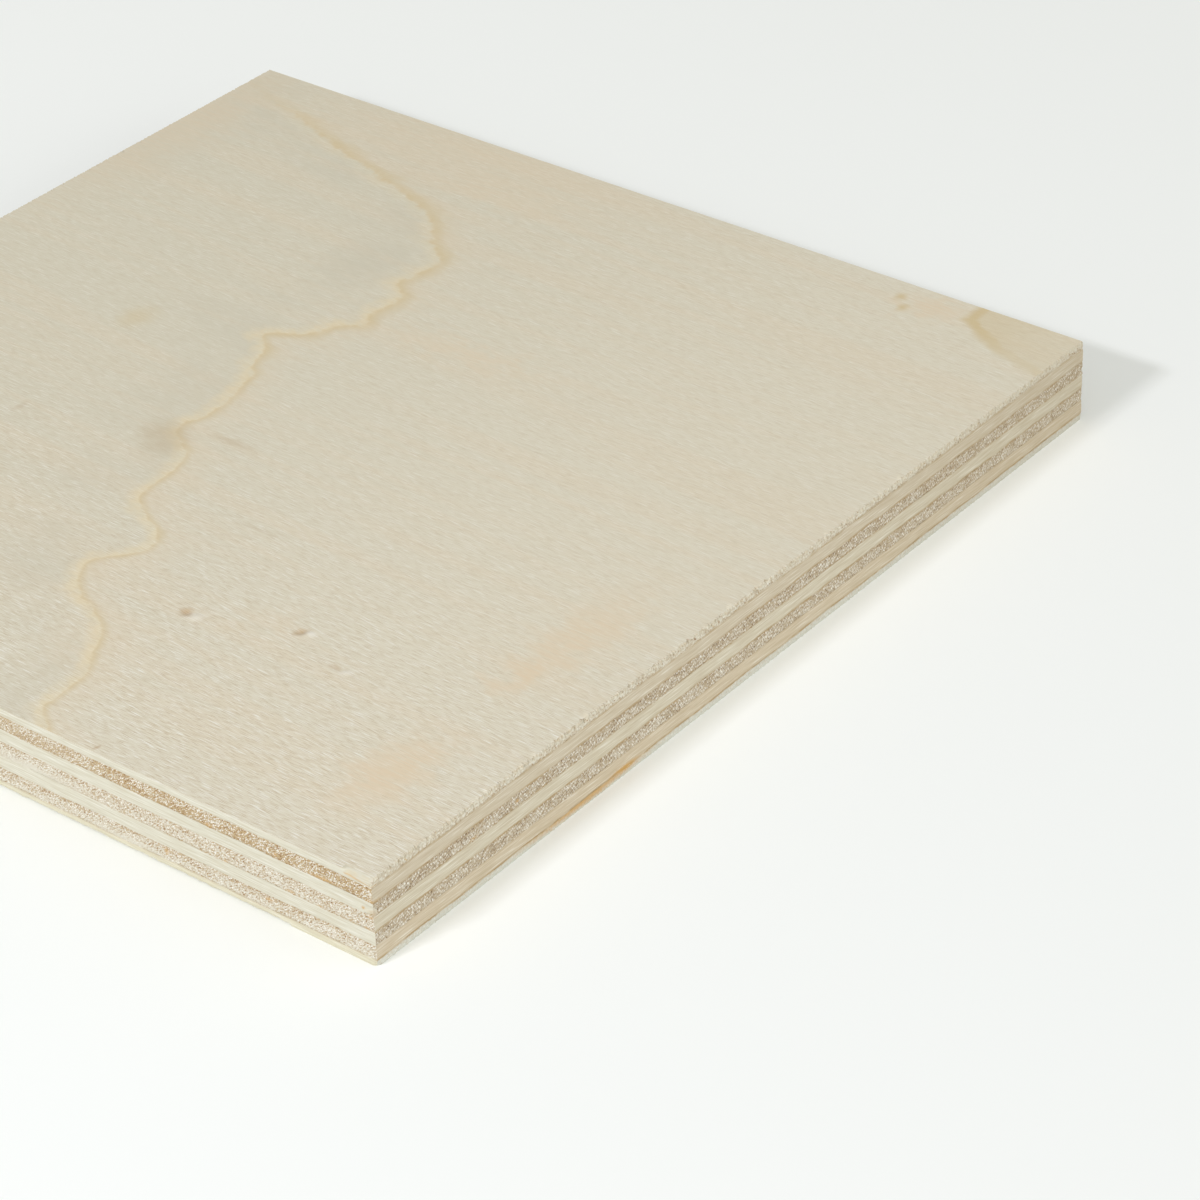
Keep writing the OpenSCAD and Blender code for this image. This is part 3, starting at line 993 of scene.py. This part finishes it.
def select_faces(test):
    """Selects just the faces whose middle passes a test."""
    bpy.ops.mesh.select_mode(type="FACE")
    bpy.ops.mesh.select_all(action="DESELECT")
    mesh = bmesh.from_edit_mesh(bpy.context.edit_object.data)
    for face in mesh.faces:
        if test(face.calc_center_median()):
            face.select_set(True)
    bmesh.update_edit_mesh(bpy.context.edit_object.data)


def extrude_wall(depth, row_step):
    """Extrudes the selected edges up, or down where depth is negative, row by row."""
    rows = max(3, round(abs(depth) / row_step))
    for _ in range(rows):
        bpy.ops.mesh.extrude_edges_move(TRANSFORM_OT_translate={"value": (0, 0, depth / rows)})


def close_glued_face(margin):
    """Fills the selected outline with a rim and a fan of faces, for a face that is glued out of sight."""
    bpy.ops.mesh.edge_face_add()
    bpy.ops.mesh.inset(thickness=margin)
    bpy.ops.mesh.poke()


def settle_normals():
    bpy.ops.mesh.select_all(action="SELECT")
    bpy.ops.mesh.normals_make_consistent(inside=False)
    bpy.ops.object.mode_set(mode="OBJECT")


def inner_ply(node, sizes):
    """An inner ply: its outline with fine points, drawn up row by row and closed above and below."""
    low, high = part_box(node)
    deselect_all()
    bpy.ops.mesh.primitive_plane_add(size=1)
    piece = place_start(f"{node}_wood", low, high, low.z)
    bpy.ops.mesh.delete(type="ONLY_FACE")
    bpy.ops.mesh.select_mode(type="EDGE")
    bpy.ops.mesh.select_all(action="SELECT")
    coarse = 25
    fine = round((high.x - low.x) / coarse / sizes.edge_step)
    bpy.ops.mesh.subdivide(number_cuts=coarse - 1)
    bpy.ops.mesh.subdivide(number_cuts=fine - 1)
    extrude_wall(high.z - low.z, sizes.row_step)
    close_glued_face(sizes.cap_margin)
    select_edges(lambda edge: edge.is_boundary)
    close_glued_face(sizes.cap_margin)
    settle_normals()
    return piece


def on_wall(middle):
    """Whether a face of a sheet whose walls are still straight is on one of them."""
    skin = 1e-4
    return max(abs(middle.x) / HALF_LENGTH, abs(middle.y) / HALF_WIDTH) > 1 - skin


def on_torn_end(edge):
    """Whether an edge is on one of the face's torn ends, clear of the fine points at the near corner."""
    skin = 0.01 * MM
    end = HALF_LENGTH - skin
    front = -HALF_WIDTH + FINE_WIDTH * MM - skin
    return edge.is_boundary and all(
        abs(point.co.x) > end and point.co.y > front for point in edge.verts
    )


def outer_veneer(node, sizes, refine, up):
    """The face or the back veneer: a gridded sheet with finer places, and sawn walls down to the glue."""
    low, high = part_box(node)
    deselect_all()
    count = round((high.x - low.x) / sizes.face_step)
    bpy.ops.mesh.primitive_grid_add(x_subdivisions=count, y_subdivisions=count, size=1)
    piece = place_start(f"{node}_wood", low, high, high.z if up else low.z)
    cuts = round(sizes.face_step / sizes.edge_step) - 1
    select_faces(refine)
    bpy.ops.mesh.subdivide(number_cuts=cuts)
    select_edges(lambda edge: edge.is_boundary and edge.calc_length() > 1.5 * sizes.edge_step)
    bpy.ops.mesh.subdivide(number_cuts=cuts)
    if up:
        select_edges(on_torn_end)
        bpy.ops.mesh.subdivide(number_cuts=1)
    select_edges(lambda edge: edge.is_boundary)
    extrude_wall(low.z - high.z if up else high.z - low.z, sizes.row_step)
    close_glued_face(sizes.cap_margin)
    settle_normals()
    return piece


def give_woods(piece, node, colours, is_sawn):
    """Gives a veneer its sanded wood, and its sawn wood on the faces whose middle passes a test."""
    make_active(piece)
    piece.data.materials.append(sanded_material(node, colours))
    piece.data.materials.append(sawn_material(node, colours))
    bpy.ops.object.mode_set(mode="EDIT")
    select_faces(is_sawn)
    piece.active_material_index = 1
    bpy.ops.object.material_slot_assign()
    bpy.ops.object.mode_set(mode="OBJECT")


def make_active(piece):
    deselect_all()
    piece.select_set(True)
    bpy.context.view_layer.objects.active = piece


def apply_group(piece, group, values=None):
    """Runs a geometry group on a piece with its own values, and applies it."""
    make_active(piece)
    modifier = piece.modifiers.new(group.name, "NODES")
    modifier.node_group = group
    for label, value in (values or {}).items():
        modifier[group.interface.items_tree[label].identifier] = value
    bpy.ops.object.modifier_apply(modifier=modifier.name)


def roughen(piece, node, sizes):
    """Gives a ply its sawn walls and wandering glue lines."""
    low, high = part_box(node)
    wave = sizes.glue_wave * PER_MM
    apply_group(piece, sawn_relief(), {
        "Low": low.z * PER_MM,
        "High": high.z * PER_MM,
        "Wave low": wave if low.z > CAD_LOW.z + MM / 2 else 0.0,
        "Wave high": wave if high.z < CAD_HIGH.z - MM / 2 else 0.0,
        "Turn": float(node in CROSSBANDS),
        "End depth": sizes.end_depth * PER_MM,
        "Long depth": sizes.long_depth * PER_MM,
        "Recess": sizes.glue_recess * PER_MM,
        "Arris": sizes.arris_wear * PER_MM,
        "Seed": RELIEF_SEED_STEP * sorted(LOOKS).index(node),
    })


def finish_piece(piece, nodes=()):
    """Shades a piece, attaches it to the body and lets it stand for its nodes."""
    make_active(piece)
    bpy.ops.object.shade_smooth_by_angle(angle=SMOOTH_ANGLE)
    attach(piece, BODY)
    if nodes:
        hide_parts(*nodes)


class PLYWOOD_OT_face_veneer(bpy.types.Operator):
    """Make the sanded face veneer, with its dents, torn ends and broken corner"""

    bl_idname = "plywood.face_veneer"
    bl_label = "Face veneer"

    def execute(self, context):
        sizes = context.scene.plywood_sheet

        dent_rim, chip_rim_x, chip_rim_y = 0.9, 0.6, 0.15

        def in_corner(middle, length, width):
            return middle.x > HALF_LENGTH - length * MM and middle.y < -HALF_WIDTH + width * MM

        def refine(middle):
            near_dent = any(
                (middle.xy - Vector((x, y)) * MM).length < (radius + dent_rim) * MM
                for x, y, radius, depth in DENTS
            )
            return near_dent or in_corner(middle, FINE_LENGTH, FINE_WIDTH)

        def sawn(middle):
            in_chip = in_corner(middle, CHIP_LENGTH + chip_rim_x, CHIP_REACH + chip_rim_y)
            return in_chip or on_wall(middle)

        piece = outer_veneer("face_veneer", sizes, refine, up=True)
        give_woods(piece, "face_veneer", context.scene.plywood_colours, sawn)
        roughen(piece, "face_veneer", sizes)
        apply_group(piece, face_wear(sizes.fray_depth))
        finish_piece(piece, ["face_veneer"])
        return {"FINISHED"}


class PLYWOOD_OT_inner_plies(bpy.types.Operator):
    """Make the five inner plies, of which the sawn walls show"""

    bl_idname = "plywood.inner_plies"
    bl_label = "Inner plies"

    def execute(self, context):
        sizes = context.scene.plywood_sheet
        for node in INNER_PLIES:
            piece = inner_ply(node, sizes)
            roughen(piece, node, sizes)
            if node == "upper_long_core":
                apply_group(piece, core_wear())
            if node == "lower_crossband":
                apply_group(piece, foot_wear())
            piece.data.materials.append(sawn_material(node, context.scene.plywood_colours))
            finish_piece(piece, [node])
        return {"FINISHED"}


class PLYWOOD_OT_back_veneer(bpy.types.Operator):
    """Make the sanded back veneer, with its broken lower arris"""

    bl_idname = "plywood.back_veneer"
    bl_label = "Back veneer"

    def execute(self, context):
        sizes = context.scene.plywood_sheet
        piece = outer_veneer("back_veneer", sizes, lambda middle: False, up=False)
        give_woods(piece, "back_veneer", context.scene.plywood_colours, on_wall)
        roughen(piece, "back_veneer", sizes)
        apply_group(piece, foot_wear())
        finish_piece(piece, ["back_veneer"])
        return {"FINISHED"}


class PLYWOOD_OT_splinters(bpy.types.Operator):
    """Model one sliver of torn wood and set it along the torn ends of the face"""

    bl_idname = "plywood.splinters"
    bl_label = "Splinters"

    def execute(self, context):
        sizes = context.scene.plywood_sheet
        deselect_all()
        bpy.ops.mesh.primitive_cube_add(size=1)
        piece = bpy.context.object
        piece.name = piece.data.name = "torn_ends"
        bends = ((0.0, 0.9), (-0.06, 0.75), (-0.14, 0.3))
        joint = sizes.sliver_length / (len(bends) + 1)
        bpy.ops.transform.resize(value=(joint, sizes.sliver_width, sizes.sliver_width / 2))
        bpy.ops.object.transform_apply(location=True, rotation=True, scale=True)
        bpy.ops.object.mode_set(mode="EDIT")
        select_faces(lambda middle: middle.x > joint / 3)
        for drop, taper in bends:
            move = (joint, 0, drop * joint)
            bpy.ops.mesh.extrude_region_move(TRANSFORM_OT_translate={"value": move})
            bpy.ops.transform.resize(value=(1, taper, taper))
        settle_normals()
        piece.data.materials.append(sliver_material(context.scene.plywood_colours))
        apply_group(piece, scatter_slivers(sizes.sliver_spacing, seed=7))
        finish_piece(piece)
        return {"FINISHED"}


class PLYWOOD_OT_stage(bpy.types.Operator):
    """Make the floor, the light and the camera"""

    bl_idname = "plywood.stage"
    bl_label = "Stage"

    def execute(self, context):
        stage = context.scene.plywood_stage
        context.scene.view_settings.view_transform = "Standard"
        self.make_floor(stage)
        self.make_sky(context.scene, stage)
        self.make_key(stage)
        self.make_camera(context.scene, stage)
        return {"FINISHED"}

    def make_floor(self, stage):
        deselect_all()
        bpy.ops.mesh.primitive_grid_add(x_subdivisions=4, y_subdivisions=4, size=stage.floor_size)
        floor = bpy.context.object
        floor.name = floor.data.name = "studio_floor"
        material, t, shader = new_material("studio floor")
        t.put(shader["Base Color"], (*stage.floor_colour, 1))
        shader["Roughness"].default_value = 0.9
        shader["Specular IOR Level"].default_value = 0.1
        floor.data.materials.append(material)

    def make_sky(self, scene, stage):
        """A room that is brighter on the right and in front, and plain white where it is seen."""
        world = bpy.data.worlds.new("studio sky")
        scene.world = world
        world.use_nodes = True
        t = Tree(world.node_tree)
        direction = t.add("ShaderNodeTexCoord").outputs["Generated"]
        lift = math.radians(30)
        flat, rise = math.cos(lift), math.sin(lift)
        light = stage.sky_even
        for side, level in (((flat, 0, rise), stage.sky_right), ((0, -flat, rise), stage.sky_front)):
            inputs = {0: direction, 1: side}
            towards = t.add("ShaderNodeVectorMath", inputs, operation="DOT_PRODUCT").outputs["Value"]
            lobe = t.math("POWER", t.math("MAXIMUM", towards, 0.0), 2.0)
            light = t.math("MULTIPLY_ADD", lobe, level, light)
        path = t.add("ShaderNodeLightPath").outputs
        seen = t.math("MAXIMUM", path["Is Camera Ray"], path["Is Glossy Ray"])
        seen = t.math("MAXIMUM", seen, path["Is Transmission Ray"])
        background = world.node_tree.nodes["Background"]
        t.put(background.inputs["Color"], t.mix(seen, stage.sky_colour, (1, 1, 1)))
        t.put(background.inputs["Strength"], t.between(seen, light, 1.0))

    def make_key(self, stage):
        """A soft lamp whose power gives its share of full light at the far right corner."""
        deselect_all()
        corner = Matrix.Translation((HALF_LENGTH, HALF_WIDTH, SHEET_TOP))
        turn = Matrix.Rotation(-stage.key_azimuth, 4, "Z")
        tilt = Matrix.Rotation(math.pi / 2 - stage.key_elevation, 4, "X")
        back = Matrix.Translation((0, 0, stage.key_distance))
        bpy.ops.object.light_add(type="AREA")
        lamp = bpy.context.object
        lamp.name = "key_lamp"
        lamp.data.shape = "RECTANGLE"
        lamp.data.color = stage.key_colour
        lamp.data.size = stage.key_width
        lamp.data.size_y = stage.key_height
        lamp.data.energy = stage.key_level * math.pi ** 2 * stage.key_distance ** 2
        lamp.visible_camera = False
        lamp.matrix_world = corner @ turn @ tilt @ back

    def make_camera(self, scene, stage):
        deselect_all()
        turn = Matrix.Rotation(stage.camera_azimuth, 4, "Z")
        tilt = Matrix.Rotation(math.pi / 2 - stage.camera_elevation, 4, "X")
        roll = Matrix.Rotation(stage.camera_roll, 4, "Z")
        back = Matrix.Translation((0, 0, stage.camera_distance))
        bpy.ops.object.camera_add()
        camera = bpy.context.object
        camera.name = "photo_camera"
        camera.data.lens = stage.camera_lens
        camera.matrix_world = Matrix.Translation(stage.camera_target) @ turn @ tilt @ back @ roll
        scene.camera = camera


class PLYWOOD_PT_panel(bpy.types.Panel):
    """Lists the sheet's pieces and its main sizes"""

    bl_idname = "PLYWOOD_PT_panel"
    bl_label = "Plywood sheet"
    bl_space_type = "VIEW_3D"
    bl_region_type = "UI"
    bl_category = "Plywood"

    def draw(self, context):
        for operator in OPERATORS:
            self.layout.operator(operator.bl_idname)
        for name in SETTINGS:
            group = getattr(context.scene, name)
            box = self.layout.box()
            for setting in group.__annotations__:
                box.prop(group, setting)


SETTINGS = {
    "plywood_sheet": PLYWOOD_PG_sheet,
    "plywood_colours": PLYWOOD_PG_colours,
    "plywood_stage": PLYWOOD_PG_stage,
}
OPERATORS = (
    PLYWOOD_OT_face_veneer,
    PLYWOOD_OT_inner_plies,
    PLYWOOD_OT_back_veneer,
    PLYWOOD_OT_splinters,
    PLYWOOD_OT_stage,
)
CLASSES = (*SETTINGS.values(), *OPERATORS, PLYWOOD_PT_panel)


def register():
    for item in CLASSES:
        bpy.utils.register_class(item)
    for name, settings in SETTINGS.items():
        setattr(bpy.types.Scene, name, bpy.props.PointerProperty(type=settings))


def unregister():
    for name in SETTINGS:
        delattr(bpy.types.Scene, name)
    for item in reversed(CLASSES):
        bpy.utils.unregister_class(item)


def main():
    register()
    bpy.ops.plywood.face_veneer()
    bpy.ops.plywood.inner_plies()
    bpy.ops.plywood.back_veneer()
    bpy.ops.plywood.splinters()
    bpy.ops.plywood.stage()


if __name__ == "__main__":
    main()
